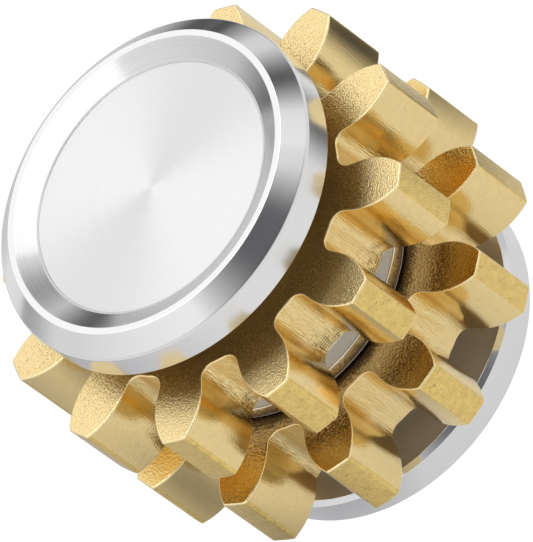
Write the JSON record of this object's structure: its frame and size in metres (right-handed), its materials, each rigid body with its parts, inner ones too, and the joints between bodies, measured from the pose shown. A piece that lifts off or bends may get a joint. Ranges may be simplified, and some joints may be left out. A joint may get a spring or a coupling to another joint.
{
  "type": "finger roller",
  "caption": "Pocket finger roller: coarse-toothed gold wheels side by side, spinning freely on ball bearings between dished silver finger caps.",
  "frame": {"origin": "centre of the rear cap's land, which the part stands on", "axes": "+Z along the spin axis from the rear cap to the front cap; +X through a tooth of the front gear"},
  "size_m": [0.028, 0.028, 0.0241],
  "materials": {
    "turned_aluminium": "polished, with a circular-brushed dish floor",
    "plated_brass": "satin gold-brass plating with a fine grain",
    "polished_steel": "polished",
    "axle_steel": "fine turned",
    "bearing_steel": "ground and polished",
    "shield_steel": "pressed, satin",
    "cage_brass": "satin"
  },
  "bodies": {
    "core": {"front_cap": "turned_aluminium", "rear_cap": "turned_aluminium", "axle": "axle_steel", "centre_spacer": "polished_steel", "front_shim": "axle_steel", "rear_shim": "axle_steel", "front_inner_race": "bearing_steel", "rear_inner_race": "bearing_steel"},
    "front_rotor": {"front_gear": "plated_brass", "front_outer_race": "bearing_steel", "front_outboard_shield": "shield_steel", "front_inboard_shield": "shield_steel", "front_shield_clips": "shield_steel"},
    "front_ball_train": {"front_balls": "bearing_steel", "front_ball_cage": "cage_brass"},
    "rear_rotor": {"rear_gear": "plated_brass", "rear_outer_race": "bearing_steel", "rear_outboard_shield": "shield_steel", "rear_inboard_shield": "shield_steel", "rear_shield_clips": "shield_steel"},
    "rear_ball_train": {"rear_balls": "bearing_steel", "rear_ball_cage": "cage_brass"}
  },
  "joints": [
    {"name": "front_gear_spin", "type": "hinge", "parent": "core", "child": "front_rotor", "pos_m": [0, 0, 0.01615], "axis": [0, 0, 1], "continuous": true},
    {"name": "front_ball_train_spin", "type": "hinge", "parent": "core", "child": "front_ball_train", "pos_m": [0, 0, 0.01615], "axis": [0, 0, 1], "continuous": true},
    {"name": "rear_gear_spin", "type": "hinge", "parent": "core", "child": "rear_rotor", "pos_m": [0, 0, 0.00795], "axis": [0, 0, 1], "continuous": true},
    {"name": "rear_ball_train_spin", "type": "hinge", "parent": "core", "child": "rear_ball_train", "pos_m": [0, 0, 0.00795], "axis": [0, 0, 1], "continuous": true}
  ],
  "couplings": [
    {"joint": "front_ball_train_spin", "follows": "front_gear_spin", "ratio": 0.5808},
    {"joint": "rear_ball_train_spin", "follows": "rear_gear_spin", "ratio": 0.5808}
  ]
}
